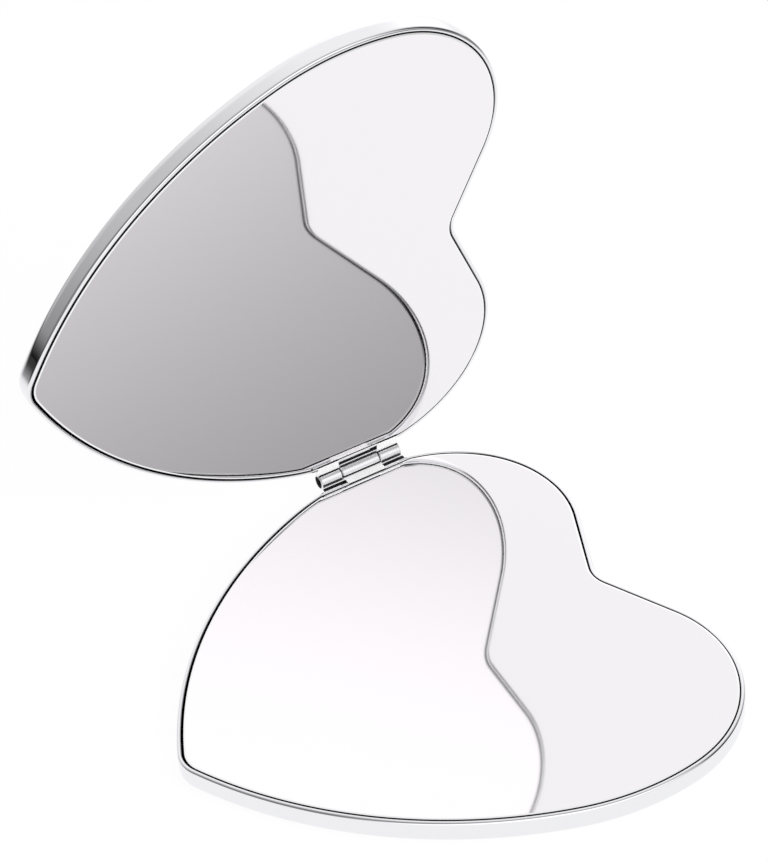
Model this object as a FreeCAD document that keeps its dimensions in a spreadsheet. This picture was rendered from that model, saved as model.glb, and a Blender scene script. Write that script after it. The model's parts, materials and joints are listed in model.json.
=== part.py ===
import FreeCAD
import Part
import Sketcher
import math
import os

# Heart-shaped compact mirror, two pressed shells on one hinge, in millimetres.
# Origin: middle of the base's underside. +X runs from the heart's point to its notch, +Y to the hinge.
# Each half is drawn lying flat, mirror upwards: the base in place, the lid with its hinge towards -Y.
# The lid is then set on the hinge axis and turned to its opening angle.

SIZES = [
    ("heart_width", 66.0, "outside, across the two shoulders"),
    ("heart_length", 60.3, "outside, from the point to the lobes"),
    ("widest_from_lobes", 18.2, "from the lobes' far end to the widest line, where the hinge is"),
    ("shoulder_radius", 29.5, "outline at the widest line"),
    ("lobe_radius", 16.2, "outline of each lobe"),
    ("flank_radius", 55.2, "long outline arc from the point to the shoulder"),
    ("tip_radius", 4.4, "outline of the point"),
    ("notch_radius", 3.7, "outline at the bottom of the notch"),
    ("notch_slope", 23.0, "degrees, the notch's straight sides against the cross direction"),
    ("sheet_thickness", 0.5, "metal of the shells"),
    ("shell_height", 3.2, "outside height of each shell"),
    ("edge_round", 1.4, "outside rounding between the floor and the upright wall"),
    ("rim_outer_round", 0.25, "rounding of the rim's outer corner"),
    ("rim_inner_round", 0.1, "rounding of the rim's inner corner"),
    ("closing_gap", 0.2, "between the two rims when shut"),
    ("glass_thickness", 1.2, "mirror glass"),
    ("glass_gap", 0.28, "around the glass, inside the wall"),
    ("glass_recess", 0.05, "mirror face below the rim"),
    ("glass_arris", 0.2, "ground edge of the mirror face"),
    ("glass_back_arris", 0.2, "ground edge of the glass's back"),
    ("mirror_tape", 0.15, "adhesive sheet between glass and board"),
    ("board_tape", 0.1, "adhesive sheet between board and shell"),
    ("board_margin", 0.5, "board's edge inside the flat of the shell's floor"),
    ("magnet_diameter", 5.0, "disc magnets"),
    ("magnet_clearance", 0.1, "around and above each magnet in its hole"),
    ("magnet_spacing", 18.0, "between the two magnets of one half"),
    ("magnet_inset", 9.0, "magnet's middle from the widest outline, opposite the hinge"),
    ("hinge_flat", 0.7, "from the widest outline to the straight stretch of rim at the hinge"),
    ("hinge_land_height", 1.2, "height of the wall's thickening at the hinge, inside and outside"),
    ("knuckle_diameter", 2.0, "hinge barrel, outside"),
    ("knuckle_clearance", 0.1, "between the barrel and the shells' walls"),
    ("centre_knuckle_length", 5.2, "base's knuckle"),
    ("end_knuckle_length", 2.9, "each of the lid's knuckles"),
    ("knuckle_gap", 0.1, "between neighbouring knuckles"),
    ("knuckle_chamfer", 0.1, "ends of each barrel"),
    ("knuckle_relief", 0.2, "depth of each rim's cutaway beside the other half's knuckles"),
    ("tongue_thickness", 0.6, "tongue of each knuckle, and depth of its slot in the rim"),
    ("slot_overrun", 1.0, "slot's length inwards past the rim, into the hollow"),
    ("pin_diameter", 0.9, "hinge pin"),
    ("pin_clearance", 0.05, "radial, in the base's knuckle"),
    ("pin_recess", 0.3, "pin's ends inside the outer knuckles"),
    ("pin_chamfer", 0.1, "ends of the pin"),
    ("open_angle", 79.6, "degrees between the two mirrors as modelled"),
]

# Places worked out from the sizes, as expressions for the bound features.
INNER_ROUND = "(sizes.edge_round - sizes.sheet_thickness)"
GLASS_EDGE = "(sizes.sheet_thickness + sizes.glass_gap)"
BOARD_EDGE = "(sizes.edge_round + sizes.board_margin)"
GLASS_BACK = "(sizes.shell_height - sizes.glass_recess - sizes.glass_thickness)"
BOARD_TOP = f"({GLASS_BACK} - sizes.mirror_tape)"
BOARD_BACK = "(sizes.sheet_thickness + sizes.board_tape)"
AXIS_Y = "(sizes.heart_width / 2 + sizes.knuckle_clearance + sizes.knuckle_diameter / 2)"
AXIS_Z = "(sizes.shell_height + sizes.closing_gap / 2)"
HINGE_X = "(sizes.heart_length / 2 - sizes.widest_from_lobes)"
CENTRE_START = f"({HINGE_X} - sizes.centre_knuckle_length / 2)"
CENTRE_END = f"({HINGE_X} + sizes.centre_knuckle_length / 2)"
TIP_START = f"({CENTRE_START} - sizes.knuckle_gap - sizes.end_knuckle_length)"
LOBE_START = f"({CENTRE_END} + sizes.knuckle_gap)"
HINGE_LENGTH = "(sizes.centre_knuckle_length + 2 * (sizes.end_knuckle_length + sizes.knuckle_gap))"
WALL_OUT = "(sizes.heart_width / 2)"
RELIEF_IN = f"({WALL_OUT} - sizes.hinge_flat)"
LAND_IN = f"({RELIEF_IN} - sizes.sheet_thickness)"
LAND_RADIUS = "(sizes.shoulder_radius - sizes.sheet_thickness + sizes.rim_inner_round)"
GLASS_FLAT = f"({LAND_IN} - sizes.glass_gap)"
SLOT_IN = f"({LAND_IN} - sizes.slot_overrun)"
LAND_FOOT = "(sizes.shell_height - sizes.hinge_land_height)"
MAGNET_Y = "(sizes.heart_width / 2 - sizes.magnet_inset)"
LID_TURN = "((180 - sizes.open_angle) * 1 deg)"
LID_Y = f"{AXIS_Y} * (1 + cos({LID_TURN})) + {AXIS_Z} * sin({LID_TURN})"
LID_Z = f"{AXIS_Z} * (1 - cos({LID_TURN})) + {AXIS_Y} * sin({LID_TURN})"

# Which way the hinge lies from the middle of a half, along Y.
BASE, LID = 1, -1

# Order of the outline's arcs and lines, anticlockwise from the point.
TIP, FLANK_LOW, SHOULDER_LOW, LOBE_LOW, SIDE_LOW, NOTCH, SIDE_UP, LOBE_UP, SHOULDER_UP, FLANK_UP = range(10)
START, END, CENTRE = range(1, 4)
ORIGIN = (-1, 1)
X_AXIS = -1

UP = FreeCAD.Vector(0, 0, 1)
CLOSE = 1e-6


def make_sheet(doc):
    """The driving dimensions, one row each: name, value, meaning."""
    sheet = doc.addObject("Spreadsheet::Sheet", "sizes")
    for row, (name, value, meaning) in enumerate(SIZES, start=1):
        sheet.set(f"A{row}", name)
        sheet.set(f"B{row}", str(value))
        sheet.set(f"C{row}", meaning)
        sheet.setAlias(f"B{row}", name)
    doc.recompute()
    return sheet


def new_body(doc, label, side):
    """An empty piece. A piece of the lid is placed on the hinge axis, turned to the opening angle."""
    body = doc.addObject("PartDesign::Body", label)
    if side == LID:
        quarter_turn = 90
        about_x = FreeCAD.Rotation(FreeCAD.Vector(1, 0, 0), quarter_turn)
        body.Placement = FreeCAD.Placement(FreeCAD.Vector(), about_x)
        body.setExpression("Placement.Rotation.Angle", LID_TURN)
        body.setExpression("Placement.Base.y", LID_Y)
        body.setExpression("Placement.Base.z", LID_Z)
    return body


def new_sketch(body, name, role, offset):
    """A sketch on one of the body's own planes, moved along the plane's normal."""
    sketch = body.newObject("Sketcher::SketchObject", f"{body.Label}_{name}")
    plane = [feature for feature in body.Origin.OriginFeatures if feature.Role == role][0]
    sketch.AttachmentSupport = [(plane, "")]
    sketch.MapMode = "FlatFace"
    sketch.setExpression("AttachmentOffset.Base.z", offset)
    return sketch


def dimension(sketch, name, kind, where, value, expression):
    """One named dimension, bound to the sheet."""
    index = sketch.addConstraint(Sketcher.Constraint(kind, *where, value))
    sketch.renameConstraint(index, name)
    sketch.setExpression(f"Constraints.{name}", expression)


def arc(centre, radius, first, last):
    """Anticlockwise arc between the directions of two points."""
    start = math.atan2(first.y - centre.y, first.x - centre.x)
    end = math.atan2(last.y - centre.y, last.x - centre.x)
    if end < start:
        end += 2 * math.pi
    return Part.ArcOfCircle(Part.Circle(centre, UP, radius), start, end)


def mirrored(point):
    """The same point on the heart's other half."""
    return FreeCAD.Vector(point.x, -point.y, 0)


def heart_geometry(sheet):
    """The outer outline: point, flanks, shoulders and lobes, each arc tangent to the next, and a notch
    with straight sides. The upper half is worked out and the lower half is its mirror image."""
    half_length = sheet.heart_length / 2
    half_width = sheet.heart_width / 2
    tip = FreeCAD.Vector(sheet.tip_radius - half_length, 0, 0)
    shoulder = FreeCAD.Vector(half_length - sheet.widest_from_lobes, half_width - sheet.shoulder_radius, 0)
    lobe_x = half_length - sheet.lobe_radius
    lobe_rise = math.sqrt((sheet.shoulder_radius - sheet.lobe_radius) ** 2 - (lobe_x - shoulder.x) ** 2)
    lobe = FreeCAD.Vector(lobe_x, shoulder.y + lobe_rise, 0)

    # The flank's circle holds both the point's and the shoulder's circle, touching each from inside.
    span = shoulder - tip
    along = FreeCAD.Vector(span).normalize()
    to_tip = sheet.flank_radius - sheet.tip_radius
    to_shoulder = sheet.flank_radius - sheet.shoulder_radius
    reach = (span.Length ** 2 + to_tip ** 2 - to_shoulder ** 2) / (2 * span.Length)
    drop = math.sqrt(to_tip ** 2 - reach ** 2)
    flank = tip + along * reach + FreeCAD.Vector(along.y, -along.x, 0) * drop

    # The notch's straight sides touch the lobes, and its round bottom touches the sides.
    slope = math.radians(sheet.notch_slope)
    outward = FreeCAD.Vector(math.cos(slope), -math.sin(slope), 0)
    side_top = lobe + outward * sheet.lobe_radius
    corner_x = side_top.x - side_top.y * math.tan(slope)
    notch = FreeCAD.Vector(corner_x + sheet.notch_radius / math.cos(slope), 0, 0)
    side_foot = notch - outward * sheet.notch_radius

    tip_flank = tip + (tip - flank).normalize() * sheet.tip_radius
    flank_shoulder = shoulder + (shoulder - flank).normalize() * sheet.shoulder_radius
    shoulder_lobe = lobe + (lobe - shoulder).normalize() * sheet.lobe_radius
    return [
        arc(tip, sheet.tip_radius, tip_flank, mirrored(tip_flank)),
        arc(mirrored(flank), sheet.flank_radius, mirrored(tip_flank), mirrored(flank_shoulder)),
        arc(mirrored(shoulder), sheet.shoulder_radius, mirrored(flank_shoulder), mirrored(shoulder_lobe)),
        arc(mirrored(lobe), sheet.lobe_radius, mirrored(shoulder_lobe), mirrored(side_top)),
        Part.LineSegment(mirrored(side_top), mirrored(side_foot)),
        arc(notch, sheet.notch_radius, side_foot, mirrored(side_foot)),
        Part.LineSegment(side_foot, side_top),
        arc(lobe, sheet.lobe_radius, side_top, shoulder_lobe),
        arc(shoulder, sheet.shoulder_radius, shoulder_lobe, flank_shoulder),
        arc(flank, sheet.flank_radius, flank_shoulder, tip_flank),
    ]


def heart_sketch(body, name, inset, offset):
    """The heart's outline drawn in evenly by the inset: same centres, smaller arcs, a larger notch arc."""
    sketch = new_sketch(body, name, "XY_Plane", offset)
    geometry = heart_geometry(body.Document.sizes)
    sketch.addGeometry(geometry, False)
    joints = [
        (TIP, END, FLANK_LOW, START),
        (FLANK_LOW, END, SHOULDER_LOW, START),
        (SHOULDER_LOW, END, LOBE_LOW, START),
        (LOBE_LOW, END, SIDE_LOW, START),
        (SIDE_LOW, END, NOTCH, END),
        (NOTCH, START, SIDE_UP, START),
        (SIDE_UP, END, LOBE_UP, START),
        (LOBE_UP, END, SHOULDER_UP, START),
        (SHOULDER_UP, END, FLANK_UP, START),
        (FLANK_UP, END, TIP, START),
    ]
    for joint in joints:
        sketch.addConstraint(Sketcher.Constraint("Tangent", *joint))
    sketch.addConstraint(Sketcher.Constraint("PointOnObject", TIP, CENTRE, X_AXIS))

    radii = {
        "tip": (TIP, f"sizes.tip_radius - {inset}"),
        "flank_low": (FLANK_LOW, f"sizes.flank_radius - {inset}"),
        "flank_up": (FLANK_UP, f"sizes.flank_radius - {inset}"),
        "shoulder_low": (SHOULDER_LOW, f"sizes.shoulder_radius - {inset}"),
        "shoulder_up": (SHOULDER_UP, f"sizes.shoulder_radius - {inset}"),
        "lobe_low": (LOBE_LOW, f"sizes.lobe_radius - {inset}"),
        "lobe_up": (LOBE_UP, f"sizes.lobe_radius - {inset}"),
        "notch": (NOTCH, f"sizes.notch_radius + {inset}"),
    }
    for key, (item, expression) in radii.items():
        dimension(sketch, f"{key}_radius", "Radius", (item,), geometry[item].Radius, expression)

    centre_x = {
        "tip": (TIP, "sizes.tip_radius - sizes.heart_length / 2"),
        "shoulder_low": (SHOULDER_LOW, HINGE_X),
        "shoulder_up": (SHOULDER_UP, HINGE_X),
        "lobe_low": (LOBE_LOW, "sizes.heart_length / 2 - sizes.lobe_radius"),
        "lobe_up": (LOBE_UP, "sizes.heart_length / 2 - sizes.lobe_radius"),
    }
    for key, (item, expression) in centre_x.items():
        where = (*ORIGIN, item, CENTRE)
        dimension(sketch, f"{key}_x", "DistanceX", where, geometry[item].Center.x, expression)

    centre_y = {
        "shoulder_low": (SHOULDER_LOW, "sizes.shoulder_radius - sizes.heart_width / 2"),
        "shoulder_up": (SHOULDER_UP, "sizes.heart_width / 2 - sizes.shoulder_radius"),
    }
    for key, (item, expression) in centre_y.items():
        where = (*ORIGIN, item, CENTRE)
        dimension(sketch, f"{key}_y", "DistanceY", where, geometry[item].Center.y, expression)

    upright = math.pi / 2
    slope = math.radians(body.Document.sizes.notch_slope)
    angles = {
        "side_low": (SIDE_LOW, upright + slope, "(90 + sizes.notch_slope) * 1 deg"),
        "side_up": (SIDE_UP, upright - slope, "(90 - sizes.notch_slope) * 1 deg"),
    }
    for key, (item, angle, expression) in angles.items():
        dimension(sketch, f"{key}_angle", "Angle", (item,), angle, expression)
    body.Document.recompute()
    return sketch


def circle_sketch(body, name, role, offset, circles):
    """Circles, each given as expressions for its centre across and up the plane and its diameter."""
    sketch = new_sketch(body, name, role, offset)
    for number, (across, along, diameter) in enumerate(circles):
        item = sketch.addGeometry(Part.Circle(FreeCAD.Vector(number, number, 0), UP, 1), False)
        where = (*ORIGIN, item, CENTRE)
        dimension(sketch, f"across_{number}", "DistanceX", where, number, across)
        dimension(sketch, f"along_{number}", "DistanceY", where, number, along)
        dimension(sketch, f"diameter_{number}", "Diameter", (item,), 2, diameter)
    body.Document.recompute()
    return sketch


def rectangle_sketch(body, name, offset, low_x, high_x, low_y, high_y):
    """An upright rectangle on the flat plane, from expressions for its four sides."""
    sketch = new_sketch(body, name, "XY_Plane", offset)
    corners = [FreeCAD.Vector(*corner) for corner in ((0, 0, 0), (1, 0, 0), (1, 1, 0), (0, 1, 0))]
    for number, corner in enumerate(corners):
        sketch.addGeometry(Part.LineSegment(corner, corners[(number + 1) % 4]), False)
    for number in range(4):
        sketch.addConstraint(Sketcher.Constraint("Coincident", number, END, (number + 1) % 4, START))
        sketch.addConstraint(Sketcher.Constraint("Vertical" if number % 2 else "Horizontal", number))
    dimension(sketch, "low_x", "DistanceX", (*ORIGIN, 0, START), 0, low_x)
    dimension(sketch, "low_y", "DistanceY", (*ORIGIN, 0, START), 0, low_y)
    dimension(sketch, "high_x", "DistanceX", (*ORIGIN, 2, START), 1, high_x)
    dimension(sketch, "high_y", "DistanceY", (*ORIGIN, 2, START), 1, high_y)
    body.Document.recompute()
    return sketch


def land_sketch(body, side):
    """What widens the rim at the hinge: the area between the wall's curve and a straight line along it."""
    sizes = body.Document.sizes
    sketch = new_sketch(body, "land_outline", "XY_Plane", LAND_FOOT)
    radius = sizes.shoulder_radius - sizes.sheet_thickness + sizes.rim_inner_round
    middle = FreeCAD.Vector(sizes.heart_length / 2 - sizes.widest_from_lobes, 0, 0)
    centre = middle + FreeCAD.Vector(0, side * (sizes.heart_width / 2 - sizes.shoulder_radius), 0)
    line = side * (sizes.heart_width / 2 - sizes.hinge_flat - sizes.sheet_thickness)
    reach = FreeCAD.Vector(side * math.sqrt(radius ** 2 - (line - centre.y) ** 2), 0, 0)
    first = middle + FreeCAD.Vector(0, line, 0) + reach
    last = middle + FreeCAD.Vector(0, line, 0) - reach
    curve = sketch.addGeometry(arc(centre, radius, first, last), False)
    chord = sketch.addGeometry(Part.LineSegment(last, first), False)
    sketch.addConstraint(Sketcher.Constraint("Coincident", curve, END, chord, START))
    sketch.addConstraint(Sketcher.Constraint("Coincident", chord, END, curve, START))
    sketch.addConstraint(Sketcher.Constraint("Horizontal", chord))
    centre_y = f"{side} * (sizes.heart_width / 2 - sizes.shoulder_radius)"
    dimension(sketch, "radius", "Radius", (curve,), radius, LAND_RADIUS)
    dimension(sketch, "centre_x", "DistanceX", (*ORIGIN, curve, CENTRE), centre.x, HINGE_X)
    dimension(sketch, "centre_y", "DistanceY", (*ORIGIN, curve, CENTRE), centre.y, centre_y)
    dimension(sketch, "line_y", "DistanceY", (*ORIGIN, chord, START), line, f"{side} * {LAND_IN}")
    body.Document.recompute()
    return sketch


def add(body, name, sketch, length):
    """Pad along the sketch's normal."""
    feature = body.newObject("PartDesign::Pad", f"{body.Label}_{name}")
    feature.Profile = sketch
    feature.setExpression("Length", length)
    body.Document.recompute()
    return feature


def cut(body, name, sketch, depth):
    """Pocket against the sketch's normal, which has to take material away."""
    before = body.Shape.Volume
    feature = body.newObject("PartDesign::Pocket", f"{body.Label}_{name}")
    feature.Profile = sketch
    feature.setExpression("Length", depth)
    body.Document.recompute()
    if body.Shape.Volume > before - CLOSE:
        raise RuntimeError(f"{feature.Label} cuts nothing")
    return feature


def dress(body, name, kind, edges, size):
    """Fillet or chamfer on the given edges of the body's last feature."""
    base = body.Tip
    names = [f"Edge{number}" for number, edge in enumerate(base.Shape.Edges, start=1)
             if any(edge.isSame(wanted) for wanted in edges)]
    feature = body.newObject(f"PartDesign::{kind}", f"{body.Label}_{name}")
    feature.Base = (base, names)
    feature.setExpression("Radius" if kind == "Fillet" else "Size", size)
    body.Document.recompute()
    return feature


def level_face(body, height):
    """The piece's flat face at a height, in the piece's own frame."""
    flats = [face for face in body.Tip.Shape.Faces if isinstance(face.Surface, Part.Plane)]
    return [face for face in flats if face.Surface.Axis.cross(UP).Length < CLOSE
            and abs(face.CenterOfMass.z - height) < CLOSE][0]


def inner_edges(face):
    """Edges of a face that aren't in its outer wire."""
    outer = face.OuterWire.Edges
    return [edge for edge in face.Edges if not any(edge.isSame(other) for other in outer)]


def end_circles(body):
    """Round edges at the two ends of a barrel or pin."""
    return [edge for edge in body.Tip.Shape.Edges if edge.isClosed()]


def towards_hinge(side, line, end=AXIS_Y):
    """Low and high Y, as expressions, from a line along the hinge to the hinge axis or another line."""
    if side == BASE:
        return line, end
    return f"-{end}", f"-{line}"


def shell(doc, label, side, tongues, neighbours):
    """Pressed dish: flat floor, rounded edge, low upright wall. At the hinge the rim widens to a
    straight line and the wall to a straight seat behind the barrels, with slots for the knuckles' tongues
    and cutaways beside the other half's knuckles."""
    sizes = doc.sizes
    body = new_body(doc, label, side)
    add(body, "block", heart_sketch(body, "outline", "0", "0"), "sizes.shell_height")
    hollow = heart_sketch(body, "hollow_outline", "sizes.sheet_thickness", "sizes.shell_height")
    cut(body, "hollow", hollow, "sizes.shell_height - sizes.sheet_thickness")
    dress(body, "hollow_edge", "Fillet", level_face(body, sizes.sheet_thickness).Edges, INNER_ROUND)
    dress(body, "edge", "Fillet", level_face(body, 0).Edges, "sizes.edge_round")
    rim = level_face(body, sizes.shell_height)
    dress(body, "rim_outside", "Fillet", rim.OuterWire.Edges, "sizes.rim_outer_round")
    rim = level_face(body, sizes.shell_height)
    dress(body, "rim_inside", "Fillet", inner_edges(rim), "sizes.rim_inner_round")
    add(body, "land", land_sketch(body, side), "sizes.hinge_land_height")
    span = (TIP_START, f"{TIP_START} + {HINGE_LENGTH}", *towards_hinge(side, RELIEF_IN, WALL_OUT))
    seat = rectangle_sketch(body, "seat_outline", LAND_FOOT, *span)
    add(body, "seat", seat, "sizes.hinge_land_height - sizes.knuckle_relief")
    for number, (start, length) in enumerate(tongues):
        span = (start, f"{start} + {length}", *towards_hinge(side, SLOT_IN))
        slot = rectangle_sketch(body, f"slot_outline_{number}", "sizes.shell_height", *span)
        cut(body, f"slot_{number}", slot, "sizes.tongue_thickness")
    for number, (start, length) in enumerate(neighbours):
        ends = (f"{start} - sizes.knuckle_gap", f"{start} + {length} + sizes.knuckle_gap")
        span = (*ends, *towards_hinge(side, RELIEF_IN))
        relief = rectangle_sketch(body, f"relief_outline_{number}", "sizes.shell_height", *span)
        cut(body, f"relief_{number}", relief, "sizes.knuckle_relief")
    return body


def knuckle(doc, label, side, start, length, bore):
    """Hinge barrel with a tongue that lies in the rim's slot, level with the rim and its straight line."""
    body = new_body(doc, label, side)
    axis = (f"{side} * {AXIS_Y}", AXIS_Z)
    barrel = circle_sketch(body, "barrel_outline", "YZ_Plane", start, [(*axis, "sizes.knuckle_diameter")])
    add(body, "barrel", barrel, length)
    dress(body, "barrel_ends", "Chamfer", end_circles(body), "sizes.knuckle_chamfer")
    span = (start, f"{start} + {length}", *towards_hinge(side, LAND_IN))
    tongue = rectangle_sketch(body, "tongue_outline", "sizes.shell_height - sizes.tongue_thickness", *span)
    add(body, "tongue", tongue, "sizes.tongue_thickness")
    hole = circle_sketch(body, "bore_outline", "YZ_Plane", f"{start} + {length}", [(*axis, bore)])
    cut(body, "bore", hole, length)
    return body


def pin(doc, label):
    """Hinge pin, pressed into the lid's knuckles and free in the base's."""
    body = new_body(doc, label, BASE)
    outline = circle_sketch(body, "outline", "YZ_Plane", f"{TIP_START} + sizes.pin_recess",
                            [(AXIS_Y, AXIS_Z, "sizes.pin_diameter")])
    add(body, "rod", outline, f"{HINGE_LENGTH} - 2 * sizes.pin_recess")
    dress(body, "rod_ends", "Chamfer", end_circles(body), "sizes.pin_chamfer")
    return body


def mirror(doc, label, side):
    """Heart of glass, silvered, with a fine ground edge in front and behind, cut straight at the hinge."""
    sizes = doc.sizes
    body = new_body(doc, label, side)
    add(body, "pane", heart_sketch(body, "outline", GLASS_EDGE, GLASS_BACK), "sizes.glass_thickness")
    front = sizes.shell_height - sizes.glass_recess
    dress(body, "front_edge", "Chamfer", level_face(body, front).Edges, "sizes.glass_arris")
    back = front - sizes.glass_thickness
    dress(body, "back_edge", "Chamfer", level_face(body, back).Edges, "sizes.glass_back_arris")
    ends = (f"{HINGE_X} - {HINGE_LENGTH}", f"{HINGE_X} + {HINGE_LENGTH}")
    span = (*ends, *towards_hinge(side, GLASS_FLAT))
    beyond = rectangle_sketch(body, "flat_outline", "sizes.shell_height", *span)
    cut(body, "flat", beyond, "sizes.shell_height")
    return body


def adhesive(doc, label, side, bottom, thickness):
    """Adhesive sheet with the backing board's outline."""
    body = new_body(doc, label, side)
    add(body, "sheet", heart_sketch(body, "outline", BOARD_EDGE, bottom), thickness)
    return body


def magnet_places(side):
    """Middles of one half's two magnets, on the side away from the hinge."""
    y = f"{-side} * {MAGNET_Y}"
    return [(f"{HINGE_X} - sizes.magnet_spacing / 2", y), (f"{HINGE_X} + sizes.magnet_spacing / 2", y)]


def board(doc, label, side):
    """Backing board on the flat of the floor, with a hole round each magnet."""
    body = new_body(doc, label, side)
    add(body, "sheet", heart_sketch(body, "outline", BOARD_EDGE, BOARD_BACK), f"{BOARD_TOP} - {BOARD_BACK}")
    diameter = "sizes.magnet_diameter + 2 * sizes.magnet_clearance"
    holes = [(*place, diameter) for place in magnet_places(side)]
    cut(body, "holes", circle_sketch(body, "hole_outlines", "XY_Plane", BOARD_TOP, holes), BOARD_TOP)
    return body


def magnet(doc, label, side, place):
    """Disc magnet on the board's adhesive, just lower than the board."""
    body = new_body(doc, label, side)
    outline = circle_sketch(body, "outline", "XY_Plane", BOARD_BACK, [(*place, "sizes.magnet_diameter")])
    add(body, "disc", outline, f"{BOARD_TOP} - {BOARD_BACK} - sizes.magnet_clearance")
    return body


def half(doc, name, side, tongues, neighbours):
    """Shell, board, magnets, mirror and adhesive of one half."""
    tip_place, lobe_place = magnet_places(side)
    return [
        shell(doc, f"{name}_shell", side, tongues, neighbours),
        adhesive(doc, f"{name}_board_tape", side, "sizes.sheet_thickness", "sizes.board_tape"),
        board(doc, f"{name}_backing_board", side),
        magnet(doc, f"{name}_magnet_tip", side, tip_place),
        magnet(doc, f"{name}_magnet_lobe", side, lobe_place),
        adhesive(doc, f"{name}_mirror_tape", side, BOARD_TOP, "sizes.mirror_tape"),
        mirror(doc, f"{name}_mirror", side),
    ]


def hinge(doc, centre, tip, lobe):
    """Three knuckles and their pin."""
    running_bore = "sizes.pin_diameter + 2 * sizes.pin_clearance"
    press_bore = "sizes.pin_diameter"
    return [
        knuckle(doc, "base_hinge_knuckle", BASE, *centre, running_bore),
        knuckle(doc, "lid_hinge_knuckle_tip", LID, *tip, press_bore),
        knuckle(doc, "lid_hinge_knuckle_lobe", LID, *lobe, press_bore),
        pin(doc, "hinge_pin"),
    ]


def check(doc, pieces):
    """Every feature has to be sound, and every piece one valid solid."""
    for item in doc.Objects:
        if "Invalid" in item.State or "Error" in item.State:
            raise RuntimeError(f"{item.Label} failed: {item.State}")
    for piece in pieces:
        shape = piece.Shape
        if shape.isNull() or not shape.isValid() or len(shape.Solids) != 1:
            raise RuntimeError(f"{piece.Label} is not one valid solid")


def main():
    os.makedirs("parts", exist_ok=True)
    doc = FreeCAD.newDocument("compact_mirror")
    make_sheet(doc)
    centre = (CENTRE_START, "sizes.centre_knuckle_length")
    tip = (TIP_START, "sizes.end_knuckle_length")
    lobe = (LOBE_START, "sizes.end_knuckle_length")
    pieces = half(doc, "base", BASE, [centre], [tip, lobe])
    pieces += half(doc, "lid", LID, [tip, lobe], [centre])
    pieces += hinge(doc, centre, tip, lobe)
    doc.recompute()
    check(doc, pieces)
    for piece in pieces:
        piece.Shape.exportStep(f"parts/{piece.Label}.step")
        print(f"{piece.Label}: {piece.Shape.Volume:.2f} mm3")


main()
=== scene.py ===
# %% [markdown]
# # A heart-shaped compact mirror
# This pocket mirror is two shallow dishes pressed from sheet metal in the shape of a heart, plated bright,
# hinged at one shoulder, and each lined with a heart of silvered glass. The imported CAD model is the fixed
# frame: it says where each piece sits and how the lid turns. This script dresses that frame, so it starts
# by loading it.

# %% Load the imported model
import json
import math

import bmesh
import bpy
import numpy as np
from mathutils import Matrix, Vector


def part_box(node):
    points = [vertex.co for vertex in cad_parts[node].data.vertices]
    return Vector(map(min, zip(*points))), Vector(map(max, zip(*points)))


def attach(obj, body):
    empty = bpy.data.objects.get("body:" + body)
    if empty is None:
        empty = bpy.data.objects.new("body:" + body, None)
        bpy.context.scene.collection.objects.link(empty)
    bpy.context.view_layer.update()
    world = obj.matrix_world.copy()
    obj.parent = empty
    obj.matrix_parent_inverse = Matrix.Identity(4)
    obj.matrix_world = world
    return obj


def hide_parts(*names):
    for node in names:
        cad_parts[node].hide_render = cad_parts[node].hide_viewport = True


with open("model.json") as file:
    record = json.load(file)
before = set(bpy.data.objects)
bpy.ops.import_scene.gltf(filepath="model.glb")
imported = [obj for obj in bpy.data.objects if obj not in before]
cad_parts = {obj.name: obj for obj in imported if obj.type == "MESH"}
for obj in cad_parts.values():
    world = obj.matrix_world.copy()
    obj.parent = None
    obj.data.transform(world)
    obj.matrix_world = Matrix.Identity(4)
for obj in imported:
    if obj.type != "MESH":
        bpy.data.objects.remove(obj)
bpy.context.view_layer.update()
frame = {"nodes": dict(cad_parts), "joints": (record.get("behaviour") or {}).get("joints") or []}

# %% [markdown]
# ## Sizes
# A new piece has to lie exactly where its CAD node is. Places could be typed in again, but they would go
# stale as soon as the part is resized. So what a node's box or the joint can tell is read from the frame,
# and only the outline's radii and the small roundings are written here, each where it is first needed.

# %% Read the main sizes, in millimetres
MM = 0.001
X, Y, Z = range(3)


def reach(node, axis):
    """Lowest and highest place of a CAD node along one axis, in millimetres."""
    low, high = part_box(node)
    return low[axis] / MM, high[axis] / MM


def extent(node, axis):
    """Length of a CAD node along one axis, in millimetres."""
    low, high = reach(node, axis)
    return high - low


hinge = frame["joints"][0]
hinge_x, axis_y, axis_z = [place / MM for place in hinge["pos_m"]]
open_angle = -hinge["range_deg"][0]
heart_length = extent("base_shell", X)
heart_width = extent("base_shell", Y)
shell_height = extent("base_shell", Z)
print(f"heart {heart_length:.1f} x {heart_width:.1f}, {shell_height:.1f} high, open {open_angle:.1f} degrees")

# %% [markdown]
# ## The heart's outline
# Die makers draw such a heart from a few arcs that touch each other: a small one at the point, a long
# flank, a wide shoulder, a lobe, a straight side and a round notch. A spline through points would also
# give a heart, but its curvature wanders, and a mirror-bright wall shows that as wobbling reflections.
# Here the arcs are worked out from their radii, and each point also gets its outward normal, so the
# outline can be drawn in by any distance without losing its shape.

# %% Work out the arcs of one side of the heart
shoulder_radius = 29.5
lobe_radius = 16.2
flank_radius = 55.2
tip_radius = 4.4
notch_radius = 3.7
notch_slope = math.radians(23.0)


def direction(angle):
    """Unit vector at an angle from +X, for one angle or an array of them."""
    return np.stack([np.cos(angle), np.sin(angle)], axis=-1)


def bearing(start, end):
    """Angle of the line from one point to another."""
    return math.atan2(end[1] - start[1], end[0] - start[0])


# Shoulder and lobe arcs touch where the line through their centres meets them.
tip = np.array([tip_radius - heart_length / 2, 0.0])
shoulder = np.array([hinge_x, heart_width / 2 - shoulder_radius])
lobe_x = heart_length / 2 - lobe_radius
lobe_rise = math.sqrt((shoulder_radius - lobe_radius) ** 2 - (lobe_x - hinge_x) ** 2)
lobe = shoulder + [lobe_x - hinge_x, lobe_rise]

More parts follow.
